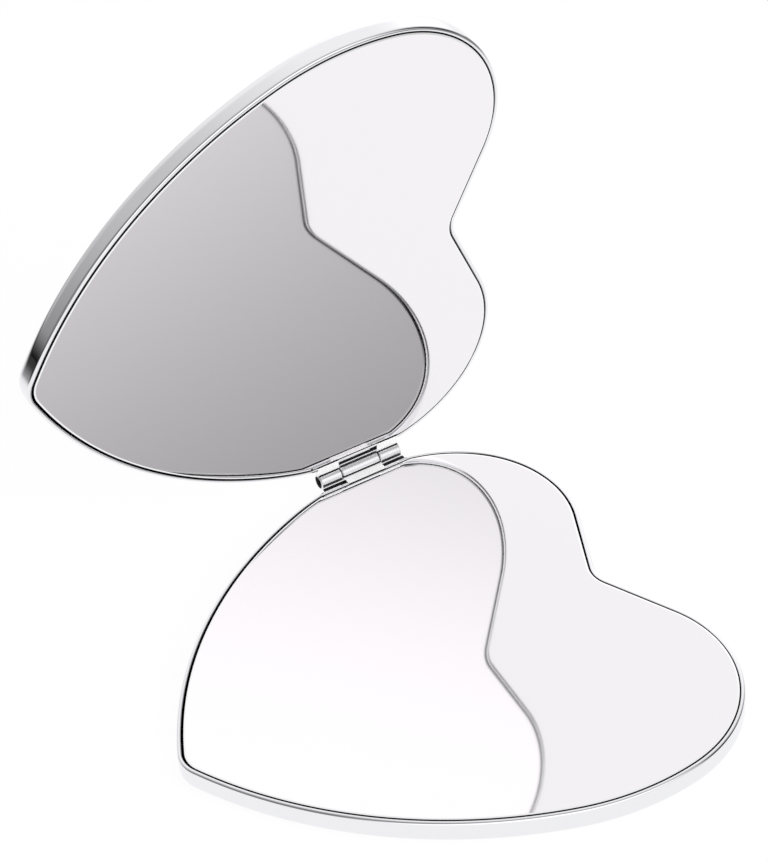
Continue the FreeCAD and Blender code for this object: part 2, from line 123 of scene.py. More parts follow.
# The flank's circle holds the tip's and the shoulder's circles, and touches both from inside.
span = np.linalg.norm(shoulder - tip)
along = (shoulder - tip) / span
to_tip = flank_radius - tip_radius
to_shoulder = flank_radius - shoulder_radius
foot = (span ** 2 + to_tip ** 2 - to_shoulder ** 2) / (2 * span)
flank = tip + along * foot + np.array([along[1], -along[0]]) * math.sqrt(to_tip ** 2 - foot ** 2)

# The notch's straight side touches the lobe, and the notch's round bottom touches the side.
side_normal = direction(-notch_slope)
side_top = lobe + side_normal * lobe_radius
corner_x = side_top[0] - side_top[1] * math.tan(notch_slope)
notch = np.array([corner_x + notch_radius / math.cos(notch_slope), 0.0])
side_foot = notch - side_normal * notch_radius
print("arc centres:", *[np.round(centre, 2) for centre in (notch, lobe, shoulder, flank, tip)])

# %% [markdown]
# ## Columns along the outline
# A dish is its cross-section carried along this outline. For each column the carrier needs the outer
# point, the point on the wall's inner face, and both normals. At the hinge the rim is not plain. It has a
# slot for the tongue of each of its own knuckles and a shallow cutaway beside each knuckle of the other
# half, and the wall fills out to a straight seat behind the barrels. These end in square cuts across the
# sheet, so the columns there keep one X through the wall's thickness. Booleans could cut them, but they
# would break the smooth grid.

# %% Lay columns on arcs and straight lines
sheet_thickness = 0.5
column_step = 0.25
same_place = 1e-6


def arc(centre, radius, start, end, side=1, cuts=()):
    """Columns on an arc: centre plus radius times the direction at even angles. The inner point lies one
    sheet thickness inwards, which is towards the centre where side is 1 and away from it where it is -1.
    Where an end of the arc is in cuts, the inner point keeps that X instead."""
    count = max(2, math.ceil(radius * abs(end - start) / column_step))
    angles = np.linspace(start, end, count + 1)
    inner_radius = radius - side * sheet_thickness
    inner_angles = angles.copy()
    for place in (0, -1):
        x = centre[0] + radius * math.cos(angles[place])
        if any(abs(x - cut) < same_place for cut in cuts):
            inner_angles[place] = math.acos((x - centre[0]) / inner_radius)
    outer = centre + radius * direction(angles)
    inner = centre + inner_radius * direction(inner_angles)
    return np.hstack([outer, side * direction(angles), inner, side * direction(inner_angles)])


def straight(start, end, normal):
    """Columns on a straight line: the start plus even shares of the way to the end."""
    count = math.ceil(np.linalg.norm(end - start) / column_step)
    outer = start + np.linspace(0, 1, count + 1)[:, None] * (end - start)
    normals = np.tile(normal, (count + 1, 1))
    return np.hstack([outer, normals, outer - sheet_thickness * normals, normals])


print(f"columns up to {column_step} mm apart, through {sheet_thickness} mm of sheet")

# %% Go round the heart
SLOT, CUTAWAY, SEAT = range(3)
NOWHERE = ((), (), ())


def cut_arc(centre, radius, start, end, stretches):
    """An arc in the pieces that the stretches' ends cut it into. Each piece comes with three marks: whether
    it lies in a slot, in a cutaway and on the seat."""
    cuts = {x for kind in stretches for stretch in kind for x in stretch if abs(x - centre[0]) < radius}
    turns = sorted(math.acos((x - centre[0]) / radius) for x in cuts)
    stops = [start] + [turn for turn in turns if start < turn < end] + [end]
    pieces = []
    for first, last in zip(stops, stops[1:]):
        middle_x = centre[0] + radius * math.cos((first + last) / 2)
        inside = [any(low < middle_x < high for low, high in kind) for kind in stretches]
        pieces.append((arc(centre, radius, first, last, cuts=cuts), inside))
    return pieces


def heart_side(stretches):
    """Columns of the heart's hinge side, from the bottom of the notch round to the point, and their marks."""
    turn_lobe = bearing(shoulder, lobe)
    turn_shoulder = bearing(flank, shoulder)
    turn_flank = bearing(flank, tip)
    plain = [False] * len(NOWHERE)
    pieces = [(arc(notch, notch_radius, math.pi, math.pi - notch_slope, side=-1), plain)]
    pieces += [(straight(side_foot, side_top, side_normal), plain)]
    pieces += cut_arc(lobe, lobe_radius, -notch_slope, turn_lobe, stretches)
    pieces += cut_arc(shoulder, shoulder_radius, turn_lobe, turn_shoulder, stretches)
    pieces += [(arc(flank, flank_radius, turn_shoulder, turn_flank), plain)]
    pieces += [(arc(tip, tip_radius, turn_flank, math.pi), plain)]
    columns = np.vstack([piece for piece, inside in pieces])
    marks = np.vstack([np.tile(inside, (len(piece), 1)) for piece, inside in pieces])
    return columns, marks


def heart_columns(stretches=NOWHERE):
    """Columns right round the heart: the hinge side, then the other side as its mirror image, backwards."""
    near, near_marks = heart_side(stretches)
    far, far_marks = heart_side(NOWHERE)
    mirror_y = np.tile([1, -1], 4)
    return np.vstack([near, far[::-1] * mirror_y]), np.vstack([near_marks, far_marks])


print(f"{len(heart_columns()[0])} columns round a plain heart")

# %% Mark where the hinge cuts the rim


def knuckle_span(node):
    """Where a knuckle starts and ends along the hinge, to the micrometre."""
    return tuple(np.round(reach(node, X), 3))


tip_knuckle = knuckle_span("lid_hinge_knuckle_tip")
centre_knuckle = knuckle_span("base_hinge_knuckle")
lobe_knuckle = knuckle_span("lid_hinge_knuckle_lobe")
knuckle_gap = centre_knuckle[0] - tip_knuckle[1]
seat = (tip_knuckle[0], lobe_knuckle[1])
beside_tip = (tip_knuckle[0] - knuckle_gap, centre_knuckle[0])
beside_lobe = (centre_knuckle[1], lobe_knuckle[1] + knuckle_gap)
beside_centre = (tip_knuckle[1], lobe_knuckle[0])
base_columns = heart_columns([[centre_knuckle], [beside_tip, beside_lobe], [seat]])
lid_columns = heart_columns([[tip_knuckle, lobe_knuckle], [beside_centre], [seat]])
print(f"{len(base_columns[0])} columns on the base, {len(lid_columns[0])} on the lid")

# %% [markdown]
# ## From grids to meshes
# Every surface below is a grid of points worked out as one array. A helper turns grids into one mesh,
# joins the points that coincide, so that seams and poles close, and marks edges that are sharper than a
# set angle, because a plated edge is either rounded in the grid or meant to be crisp. The lid is worked
# out lying flat like the base, and another helper stands it on the hinge at its opening angle.

# %% Helpers that make a piece from grids
weld_distance = 0.0001 * MM
crease_angle = 32
lid_turn = math.radians(180 - open_angle)


def on_base(points):
    """The base is drawn where it lies."""
    return points


def on_lid(points):
    """The lid's point: mirrored so that its hinge side faces -Y, then turned about the hinge axis."""
    x, y, z = np.moveaxis(points, -1, 0)
    out = axis_y - y
    up = z - axis_z
    turned_y = axis_y + out * math.cos(lid_turn) - up * math.sin(lid_turn)
    turned_z = axis_z + out * math.sin(lid_turn) + up * math.cos(lid_turn)
    return np.stack([x, turned_y, turned_z], axis=-1)


def quads_of(grid, finish):
    """Points and quads of a grid: a quad joins a point to its neighbours along the row and the column.
    The finish is one number, or a table with one for each quad."""
    rows, columns = grid.shape[:2]
    number = np.arange(rows * columns).reshape(rows, columns)
    corners = [number[:-1, :-1], number[:-1, 1:], number[1:, 1:], number[1:, :-1]]
    quads = np.stack(corners, axis=-1).reshape(-1, 4)
    finishes = np.broadcast_to(finish, (rows - 1, columns - 1)).ravel()
    return grid.reshape(-1, 3), quads, finishes


def make_piece(node, grids, place, finishes, crease=crease_angle):
    """One piece that stands for a CAD node: its grids as a single closed mesh, in metres, with edges that
    turn by more than the crease's degrees left sharp."""
    parts = [quads_of(grid, finish) for grid, finish in grids]
    starts = np.cumsum([0] + [len(points) for points, _, _ in parts])
    points = place(np.vstack([part[0] for part in parts])) * MM
    quads = np.vstack([part[1] + start for part, start in zip(parts, starts)])
    mesh = bpy.data.meshes.new(f"{node}_surface")
    mesh.from_pydata(points, [], quads.tolist())
    mesh.polygons.foreach_set("material_index", np.concatenate([part[2] for part in parts]).astype(np.int32))

    work = bmesh.new()
    work.from_mesh(mesh)
    bmesh.ops.remove_doubles(work, verts=work.verts, dist=weld_distance)
    bmesh.ops.recalc_face_normals(work, faces=work.faces)
    open_edges = sum(len(edge.link_faces) != 2 for edge in work.edges)
    work.to_mesh(mesh)
    work.free()
    mesh.polygons.foreach_set("use_smooth", np.ones(len(mesh.polygons), bool))
    mesh.set_sharp_from_angle(angle=math.radians(crease))
    for finish in finishes:
        mesh.materials.append(finish)

    piece = bpy.data.objects.new(f"{node}_finished", mesh)
    bpy.context.scene.collection.objects.link(piece)
    # The wire is drawn where it lies, but it is pressed into the lid's barrels and turns with them.
    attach(piece, "lid" if place is on_lid or node == "hinge_pin" else "base")
    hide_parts(node)
    print(f"{piece.name}: {len(mesh.polygons)} faces, {open_edges} open edges")


# %% [markdown]
# ## Colours and nodes
# Colours are written as sRGB hex values, as a picture editor shows them, but shaders count in linear
# light, so one function converts them. Another adds a node with its settings and its links. No surface is
# quite even: wheels, drawing and wiping each leave their own mark. So a third function lays such a pattern
# at its real size in millimetres, which keeps each finish below to a few lines.

# %% Helpers for finishes


def colour(code):
    """Linear RGBA of an sRGB hex code: below 0.04045 divided by 12.92, above it a 2.4 power."""
    share = np.array([int(code[i:i + 2], 16) for i in (1, 3, 5)]) / 255
    linear = np.where(share <= 0.04045, share / 12.92, ((share + 0.055) / 1.055) ** 2.4)
    return (*linear, 1.0)


def add_node(tree, kind, inputs=(), **settings):
    """Adds a node. Inputs maps a socket's name or number to a value, or to the output that feeds it."""
    item = tree.nodes.new(kind)
    for name, value in settings.items():
        setattr(item, name, value)
    for socket, value in dict(inputs).items():
        if isinstance(value, bpy.types.NodeSocket):
            tree.links.new(value, item.inputs[socket])
        else:
            item.inputs[socket].default_value = value
    return item


def new_finish(name, **sockets):
    """A material with a Principled shader whose constant sockets are set directly."""
    material = bpy.data.materials.new(name)
    material.use_nodes = True
    shader = material.node_tree.nodes["Principled BSDF"]
    for socket, value in sockets.items():
        shader.inputs[socket.replace("_", " ")].default_value = value
    return material


def uneven(material, size_mm, detail, roughness=None, tones=None, depth_mm=None, stretch=None):
    """Noise on Object coordinates whose blotches are about the given size across, longer along an axis that
    the stretch makes small. It spreads the roughness between two values, mixes two tones, or stands up by
    a real depth."""
    tree = material.node_tree
    shader = tree.nodes["Principled BSDF"]
    place = add_node(tree, "ShaderNodeTexCoord").outputs["Object"]
    if stretch:
        place = add_node(tree, "ShaderNodeMapping", {"Vector": place, "Scale": stretch}).outputs["Vector"]
    inputs = {"Vector": place, "Scale": 1 / (size_mm * MM), "Detail": detail}
    blotches = add_node(tree, "ShaderNodeTexNoise", inputs).outputs["Fac"]
    if roughness:
        inputs = {"Value": blotches, "To Min": roughness[0], "To Max": roughness[1]}
        tree.links.new(add_node(tree, "ShaderNodeMapRange", inputs).outputs[0], shader.inputs["Roughness"])
    if tones:
        inputs = {"Factor": blotches, "A": colour(tones[0]), "B": colour(tones[1])}
        tone = add_node(tree, "ShaderNodeMix", inputs, data_type="RGBA")
        tree.links.new(tone.outputs["Result"], shader.inputs["Base Color"])
    if depth_mm:
        bump = add_node(tree, "ShaderNodeBump", {"Height": blotches, "Distance": depth_mm * MM})
        tree.links.new(bump.outputs["Normal"], shader.inputs["Normal"])


# %% [markdown]
# ## Bright plate on the dishes
# The dishes are pressed from sheet, polished and plated with nickel and chrome, so they mirror their
# surroundings almost without loss. What tells plate from a perfect mirror is a very slight orange peel
# from the polishing, a few millimetres across, and a faint haze from wiping. The inside of the wall is
# not polished, nor are the cutaways and the seat behind the barrels, where no wheel reaches: there the
# plate is rough, and it is painted nearly black as painted shade for these narrow gaps, which reads as
# black lines.

# %% Finishes of the dishes


def bright_plate():
    """Chrome plate: nearly white metal, sharp reflections, faint polishing waves and wiping haze."""
    material = new_finish("bright_chrome_plate", Metallic=1.0, Base_Color=colour("#eeeef1"))
    uneven(material, size_mm=6.0, detail=6.0, roughness=(0.025, 0.07))
    uneven(material, size_mm=2.5, detail=2.0, depth_mm=0.0004)
    return material


def painted_shade_finish():
    """Unpolished plate in gaps and corners: rough grain, and a nearly black colour that is painted shade."""
    material = new_finish("unpolished_plate_painted_shade", Metallic=1.0, Base_Color=colour("#2c2c2e"))
    uneven(material, size_mm=0.4, detail=4.0, roughness=(0.45, 0.7), depth_mm=0.004)
    return material


# The dull plate's nearly black colour is painted shade for gaps, corners and hollows.
plate = bright_plate()
painted_shade_plate = painted_shade_finish()
print("made", plate.name, "and", painted_shade_plate.name)

# %% [markdown]
# ## The two dishes
# Each half is a dish: a flat floor, a rounded edge, an upright wall and a rim polished to a soft bead.
# Pressing could be imitated by extruding the outline and bevelling it, but bevels on a notch this tight
# fold over. Carrying a cross-section along the columns gives the same form exactly, with even quads, so
# the reflections in the wall run smoothly.

# %% Section of a dish
edge_round = 1.4
rim_outer_round = 0.34
rim_inner_round = 0.12
strip_round = 0.15
land_height = 1.2
flat_margin = 0.1
edge_steps = 10
land_rows = 2
inner_round = edge_round - sheet_thickness
land_foot = shell_height - land_height
rim_foot = shell_height - rim_outer_round


def quarter(steps):
    """Even angles over a quarter turn."""
    return np.linspace(0, math.pi / 2, steps + 1)


def rows(distances, heights):
    """Section points as rows: how far each lies inside the outline, and how high."""
    return np.stack([np.concatenate(distances), np.concatenate(heights)], axis=1)


# Rows close to each end of the upright wall keep its shading flat. The row at the foot of the seat and of
# the straight land is there twice, so that both can step out above it.
sweep = quarter(edge_steps)
wall = [edge_round + flat_margin, land_foot, land_foot, rim_foot - flat_margin]
outside = rows([[edge_round + flat_margin], edge_round * (1 - np.sin(sweep)), np.zeros(len(wall))],
               [[0.0], edge_round * (1 - np.cos(sweep)), wall])
seat_row = len(outside) - land_rows
inside = rows([np.zeros(len(wall)), inner_round * (1 - np.cos(sweep)), [inner_round + flat_margin]],
              [wall[::-1], edge_round - inner_round * np.sin(sweep), [sheet_thickness]])
inside[:, 0] += sheet_thickness
print(f"section of {len(outside)} points outside and {len(inside)} inside")

# %% Carry the section round the heart
cutaway_depth = 0.2
land_y = reach("base_hinge_knuckle", Y)[0]
strip_y = land_y + sheet_thickness
rim_bend = quarter(6)[:, None]
rim_tuck = quarter(4)[:, None]
land_shares = np.array([[0.25], [0.5], [0.75]])
pole = np.array([5.0, 0.0])

# Where a column's numbers for each face of the wall start: two for the point, then two for its normal.
OUTER_FACE, INNER_FACE = 0, 4


def carried(columns, section, base_inset):
    """A stretch of the section along the columns: each point lies on its column, the section's distance
    in from where the column starts, at the section's height. Columns start outside, or at the inner face."""
    first = OUTER_FACE if base_inset == 0 else INNER_FACE
    start, normal = columns[:, first:first + 2], columns[:, first + 2:first + 4]
    flat = start - (section[:, 0, None, None] - base_inset) * normal
    height = np.broadcast_to(section[:, 1, None, None], (*flat.shape[:2], 1))
    return np.concatenate([flat, height], axis=-1)


def across_rim(outer, inner, cutaway):
    """The rim between the wall's two faces: a rounded corner, a level land, and a smaller rounded corner. In
    a cutaway only a strip along the inner face is left of the land, and the rest lies on its floor."""
    across = inner[:, :2] - outer[:, :2]
    width = np.linalg.norm(across, axis=1)
    to_strip = np.where(cutaway, width * (outer[:, Y] - strip_y) / np.where(cutaway, -across[:, Y], 1), 0)
    corner = rim_outer_round * (1 - np.cos(rim_bend)) + 0 * width
    level = rim_outer_round + land_shares * (width - rim_outer_round - rim_inner_round)
    lip = width - rim_inner_round * (1 - np.sin(rim_tuck))
    kept = np.concatenate([corner, level, lip])
    kept_up = np.concatenate([rim_outer_round * (1 - np.sin(rim_bend)), np.zeros_like(land_shares),
                              rim_inner_round * (1 - np.cos(rim_tuck))])
    step = to_strip + np.array([[0], [0], [strip_round]])
    left = np.concatenate([np.minimum(corner, to_strip), step, lip])
    floor = np.maximum(kept_up[:len(corner) + 1], cutaway_depth)
    left_up = np.concatenate([floor, [[strip_round]], kept_up[len(floor) + 1:]])
    share = np.where(cutaway, left, kept) / width
    height = shell_height - np.where(cutaway, left_up, kept_up)
    return np.concatenate([outer[:, :2] + share[..., None] * across, height[..., None]], axis=-1)


def fan(edge, rings):
    """A flat face inside an edge: rings that shrink evenly from the edge to the pole, edge left out."""
    middle = np.append(pole, edge[0, Z])
    return middle + np.linspace(1, 0, rings + 1)[1:, None, None] * (edge - middle)


print(f"straight land at y {land_y:.2f}, flat faces drawn from", pole)

# %% Build the dishes
tongue_thickness = 0.6
seat_y = heart_width / 2
POLISHED, PAINTED_SHADE = range(2)


def dish(columns, marks, rings=8):
    """Closed dish: underside from its pole outwards, wall, rim, inner wall, and floor to its pole. On the
    seat the wall stands at one Y, and so does the inner face where the straight land is in front of it. In
    a slot, everything higher than the slot's floor is pressed down to it."""
    outer = carried(columns, outside, 0)
    outer[seat_row:, marks[:, SEAT], Y] = seat_y
    inner = carried(columns, inside, sheet_thickness)
    inner[:land_rows, :, Y] = np.minimum(inner[:land_rows, :, Y], land_y)
    rim = across_rim(outer[-1], inner[0], marks[:, CUTAWAY])
    grid = np.concatenate([fan(outer[0], rings)[::-1], outer, rim, inner, fan(inner[-1], rings)])
    slot_floor = np.where(marks[:, SLOT], shell_height - tongue_thickness, np.inf)
    grid[..., Z] = np.minimum(grid[..., Z], slot_floor)

    # Bands between rows: the seat's face, the cutaway up to its strip, and all inside the rim get the dark
    # plate, as painted shade.
    rim_band = rings + len(outer) - 1
    strip_band = rim_band + len(rim) - len(rim_tuck) - 1
    finish = np.full((len(grid) - 1, len(columns) - 1), POLISHED)
    within = marks[:-1] & marks[1:]
    finish[rings + seat_row - 1:rim_band, within[:, SEAT]] = PAINTED_SHADE
    finish[rim_band:strip_band, within[:, CUTAWAY]] = PAINTED_SHADE
    finish[rim_band + len(rim):] = PAINTED_SHADE
    return grid, finish


make_piece("base_shell", [dish(*base_columns)], on_base, [plate, painted_shade_plate])
make_piece("lid_shell", [dish(*lid_columns)], on_lid, [plate, painted_shade_plate])

# %% [markdown]
# ## Mirror glass
# The mirrors are float glass, silvered and cut to the heart. The silver is all that the eye gets from the
# face, so the face is made as polished metal with the silver's cool white. Real silvering could be put
# behind a sheet of refracting glass, but at this thickness nothing shows of it apart from the edge. The
# face has a narrow polished bevel round it, which looks past the opposite mirror and draws a white line
# round the reflection. The ground edge below it lies in the gap and is coloured nearly black, as painted
# shade of the gap, and the back is painted grey against scratches.

# %% Finishes of the mirrors


def silvered_face():
    """Silver behind clear glass: neutral to slightly cool, and smooth. A trace of dust, and the faint second
    reflection from the front of the glass, soften what lies further from the mirror."""
    material = new_finish("silvered_glass", Metallic=1.0, Base_Color=colour("#f3f1f3"))
    uneven(material, size_mm=9.0, detail=5.0, roughness=(0.032, 0.042))
    return material


def polished_bevel():
    """Bevel polished like the face, with the silver behind it: bright, with the wheel's fine lines."""
    material = new_finish("polished_glass_bevel", Metallic=1.0, Base_Color=colour("#f6f6f6"))
    uneven(material, size_mm=0.3, detail=3.0, roughness=(0.03, 0.08))
    return material


def ground_edge_painted_shade():
    """Ground edge of clear glass: grey-green and rough, and coloured nearly black as painted shade of the gap
    it lies in.
    """
    material = new_finish("ground_glass_edge_painted_shade", Base_Color=colour("#1c201f"), IOR=1.52)
    uneven(material, size_mm=0.1, detail=3.0, roughness=(0.4, 0.6), depth_mm=0.003)
    return material


def backing_paint():
    """Protective paint on the silvering: flat grey, brushed on thinly, with a little mottling."""
    material = new_finish("mirror_backing_paint", Roughness=0.6)
    uneven(material, size_mm=3.0, detail=4.0, tones=("#6f7275", "#7d8083"))
    return material


silver = silvered_face()
bevel = polished_bevel()
# The ground edge's nearly black colour is painted shade of the gap.
glass_edge_painted_shade = ground_edge_painted_shade()
paint = backing_paint()
print("made", silver.name, bevel.name, glass_edge_painted_shade.name, "and", paint.name)

# %% Build the mirrors
glass_far, glass_straight = reach("base_mirror", Y)
glass_inset = heart_width / 2 + glass_far
glass_back, glass_face = reach("base_mirror", Z)
glass_excess = 0.06
back_arris = 0.2
bevel_width = 0.2
bevel_slope = math.radians(12)
bevel_drop = bevel_width * math.tan(bevel_slope)
bevel_crease = 8
pane_section = rows([[back_arris, 0.0, 0.0, bevel_width]],
                    [[glass_back, glass_back + back_arris, glass_face - bevel_drop, glass_face]])
pane_section[:, 0] += glass_inset - glass_excess
SILVER, BEVEL, EDGE_SHADE, PAINT = range(4)
pane_finishes = [silver, bevel, glass_edge_painted_shade, paint]


def pane(shift, turn, rings=12):
    """Closed pane: back from its pole outwards, edge, and face inwards to its pole. At the hinge each row of
    the edge keeps behind a straight line, as far in from the pane's straight cut as the row is inset. The
    whole pane then turns about the heart's middle and moves by a shift, both in its own plane."""
    columns, _ = heart_columns()
    edge = carried(columns, pane_section, 0)
    line = glass_straight + glass_inset - pane_section[:, 0]
    edge[..., Y] = np.minimum(edge[..., Y], line[:, None])
    back = fan(edge[0], rings)[::-1]
    face = fan(edge[-1], rings)
    finish = np.repeat([PAINT, EDGE_SHADE, BEVEL, SILVER], [len(back), len(edge) - 2, 1, len(face)])
    x, y, z = np.moveaxis(np.concatenate([back, edge, face]), -1, 0)
    turned_x = x * math.cos(turn) - y * math.sin(turn)
    turned_y = x * math.sin(turn) + y * math.cos(turn)
    return np.stack([turned_x + shift[X], turned_y + shift[Y], z], axis=-1), finish[:, None]


# Each pane was cut a little full and stuck down slightly off the middle, and the base's is slightly turned.
seats = {"base": (on_base, (0.05, -0.02), math.radians(0.2)), "lid": (on_lid, (0.10, 0.05), 0.0)}
for side, (place, shift, turn) in seats.items():
    make_piece(f"{side}_mirror", [pane(shift, turn)], place, pane_finishes, bevel_crease)

# %% [markdown]
# ## Hinge
# The hinge has three short barrels on one wire. Each barrel has a tongue that lies in a slot of its own
# dish's rim, level with it: the middle one belongs to the base, the outer two to the lid. A barrel could
# be a cylinder stuck on a box, but then their walls would cross inside each other. Instead the outline of
# both together, an arc and three straight lines, is carried along the axis, and each end is closed by a
# ring round the bore and a patch over the tongue.

# %% Finishes of the hinge


def barrel_plate():
    """Plated barrels: drawn tube, so fine lines run along the axis, too fine to see singly. They are drawn
    about three times as coarse as the real ones, so that they show at all."""
    material = new_finish("hinge_chrome_plate", Metallic=1.0, Base_Color=colour("#f0f0f2"))
    drawn_out = (0.05, 1.0, 1.0)
    uneven(material, size_mm=0.06, detail=3.0, roughness=(0.22, 0.34), depth_mm=0.0006, stretch=drawn_out)
    return material


def frosted_tongue():
    """Tongue left frosted by its silver plating: even, bright and matt, almost white."""
    material = new_finish("hinge_frosted_plate", Base_Color=colour("#fdfdfd"))
    uneven(material, size_mm=0.12, detail=3.0, roughness=(0.5, 0.65))
    return material


def hinge_wire():
    """Plain steel wire, cropped to length: darker than plate, with drawing lines. Its cut ends get the dark
    plate, as painted shade.
    """
    material = new_finish("hinge_steel_wire", Metallic=1.0, Base_Color=colour("#8f8f92"))
    uneven(material, size_mm=0.15, detail=4.0, roughness=(0.25, 0.5), depth_mm=0.003)
    return material


barrel_finish = barrel_plate()
tongue_finish = frosted_tongue()
wire_finish = hinge_wire()
print("made", barrel_finish.name, tongue_finish.name, "and", wire_finish.name)

# %% Draw a knuckle
barrel_radius = extent("base_hinge_knuckle", Z) / 2
wire_radius = extent("hinge_pin", Z) / 2
running_clearance = 0.05
barrel_chamfer = 0.1
mouth_radius = 0.78
mouth_depth = 0.25
tongue_top = shell_height - axis_z
tongue_bottom = tongue_top - tongue_thickness
crease_shade_quads = 3
BARREL, TONGUE, KNUCKLE_SHADE = range(3)
# The dark plate on the crease and in the mouths is painted shade.
knuckle_finishes = [barrel_finish, tongue_finish, painted_shade_plate]


def about_axis(x, out, up):
    """Points given along the hinge axis, outwards from it and upwards from it."""
    return np.stack(np.broadcast_arrays(x, axis_y + out, axis_z + up), axis=-1)


def knuckle(span, bore_radius, turns=64, steps=24, levels=6):
    """Grids of one knuckle: the outline of barrel and tongue carried along the axis, and at each end a patch
    over the tongue's end, a narrow ring, and the mouth that narrows from it to the bore."""
    start, end = span
    x = np.concatenate([[start], np.linspace(start + barrel_chamfer, end - barrel_chamfer, steps), [end]])
    radius = np.full(len(x), barrel_radius)
    radius[[0, -1]] -= barrel_chamfer
    level = np.linspace(tongue_top, tongue_bottom, levels)

    # The barrel's free arc runs from the tongue's underside round the top to the tongue's upper face. The
    # last few quads before the tongue, in the crease where the two meet, get the dark plate as painted shade.
    low_turn = np.arcsin(np.clip(-tongue_bottom / radius, -1, 1)) - math.pi
    high_turn = math.pi + np.arcsin(-tongue_top / radius)
    turn = low_turn[:, None] + np.linspace(0, 1, turns) * (high_turn - low_turn)[:, None]
    free = about_axis(x[:, None], radius[:, None] * np.cos(turn), radius[:, None] * np.sin(turn))
    back = about_axis(x[:, None], land_y - axis_y, level)
    skin = np.concatenate([free, back, free[:, :1]], axis=1)

    # The ends: level lines over the tongue, and a ring whose hidden part follows the same levels.
    ring_radius = radius[0]
    hidden = math.pi + np.arcsin(np.clip(-level / ring_radius, -1, 1))
    ring = np.concatenate([turn[0], hidden])
    finish = np.full((1, skin.shape[1] - 1), BARREL)
    finish[:, turns - 1] = TONGUE
    finish[:, turns - 1 - crease_shade_quads:turns - 1] = KNUCKLE_SHADE
    grids = [(skin, finish)]
    mouths = []
    # Each mouth and the bore's end get the dark plate, as painted shade of the hollow.
    for place, inward in ((start, mouth_depth), (end, -mouth_depth)):
        near = about_axis(place, land_y - axis_y, level)
        far = about_axis(place, ring_radius * np.cos(hidden), ring_radius * np.sin(hidden))
        edge = about_axis(place, ring_radius * np.cos(ring), ring_radius * np.sin(ring))
        mouth = about_axis(place, mouth_radius * np.cos(ring), mouth_radius * np.sin(ring))
        bore = about_axis(place + inward, bore_radius * np.cos(ring), bore_radius * np.sin(ring))
        grids += [(np.stack([near, far]), BARREL), (np.stack([edge, mouth]), BARREL)]
        grids += [(np.stack([mouth, bore]), KNUCKLE_SHADE)]
        mouths.append(bore)
    return grids + [(np.stack(mouths), KNUCKLE_SHADE)]


print(f"barrels of {barrel_radius:.2f} mm radius on a wire of {wire_radius:.2f} mm")

# %% Build the knuckles
grids = knuckle(centre_knuckle, wire_radius + running_clearance)
make_piece("base_hinge_knuckle", grids, on_base, knuckle_finishes)
for name, span in (("tip", tip_knuckle), ("lobe", lobe_knuckle)):
    grids = knuckle(span, wire_radius)
    make_piece(f"lid_hinge_knuckle_{name}", grids, on_lid, knuckle_finishes)

# %% Build the wire
wire_chamfer = 0.1
WIRE, CUT_SHADE = range(2)


def wire(turns=64):
    """Round wire: a stepped radius along the axis, carried right round it, with both ends closed. The cut
    ends and their chamfers lie in the mouths' shade and get the dark plate, as painted shade."""
    start, end = reach("hinge_pin", X)
    x = np.array([start, start, start + wire_chamfer, end - wire_chamfer, end, end])
    radius = wire_radius - np.array([wire_radius, wire_chamfer, 0, 0, wire_chamfer, wire_radius])
    angle = np.linspace(0, 2 * math.pi, turns + 1)
    finish = np.array([CUT_SHADE, CUT_SHADE, WIRE, CUT_SHADE, CUT_SHADE])[:, None]
    return about_axis(x[:, None], radius[:, None] * np.cos(angle), radius[:, None] * np.sin(angle)), finish


make_piece("hinge_pin", [wire()], on_base, [wire_finish, painted_shade_plate])

# %% [markdown]
# ## Pieces behind the glass
# Behind each mirror lie a grey pasteboard, two sheets of adhesive and two disc magnets that hold the
# compact shut. They are hidden when it is whole, and their CAD nodes are already the right shape, so
# those stay as they are and only get their finishes: pressed paper fibre, a satin film, and nickel.

# %% Finish the hidden pieces


def pasteboard():
    """Grey board from recycled fibre: matt, speckled with darker and lighter fibres."""
    material = new_finish("grey_pasteboard", Roughness=0.9)
    uneven(material, size_mm=0.5, detail=6.0, tones=("#8a8780", "#c9c5bd"), depth_mm=0.02)
    return material


def adhesive_film():
    """Adhesive on a carrier film: milky, satin, with small trapped bubbles."""
    material = new_finish("adhesive_film", Base_Color=colour("#e9e8e2"), IOR=1.47)
    uneven(material, size_mm=0.8, detail=3.0, roughness=(0.25, 0.5), depth_mm=0.01)
    return material


def nickel_plate():
    """Nickel on a sintered magnet: warm grey metal, barrel-plated, so softly uneven."""
    material = new_finish("nickel_plate", Metallic=1.0, Base_Color=colour("#cfc9bd"))
    uneven(material, size_mm=0.3, detail=4.0, roughness=(0.22, 0.4), depth_mm=0.002)
    return material


hidden_finishes = {
    "backing_board": pasteboard(),
    "tape": adhesive_film(),
    "magnet": nickel_plate(),
}
for name, node in frame["nodes"].items():
    for kind, finish in hidden_finishes.items():
        if kind in name:
            node.material_slots[0].material = finish
            print(f"{name}: {finish.name}")

# %% [markdown]
# ## Floor
# The photograph has a white ground with hardly any shadow. The floor is a white sheet on a table that ends
# not far behind the compact. To the camera and in reflections it shows mostly as even white, so that the
# plate and the mirrors have white to reflect, and a share of it stays an ordinary matt surface, which
# keeps the compact's soft shadow. Behind on the left the sheet runs out of the light, and the lid's wall
# shows that as a dark patch beside the heart's point. In front on the right it gets dim, which the rims
# show as grey lines. A sheet lit all over would leave them white.

# %% Lay the floor
floor_half = 3.0
floor_end = 0.35
dim_level = 0.2
left_behind = (-0.74, 0.67, 0.0)
left_fade = (0.40, 0.09)
right_front = (0.8, -0.6, 0.0)
right_fade = (0.17, 0.07)
floor_drop = 0.02 * MM
shadow_share = 0.05


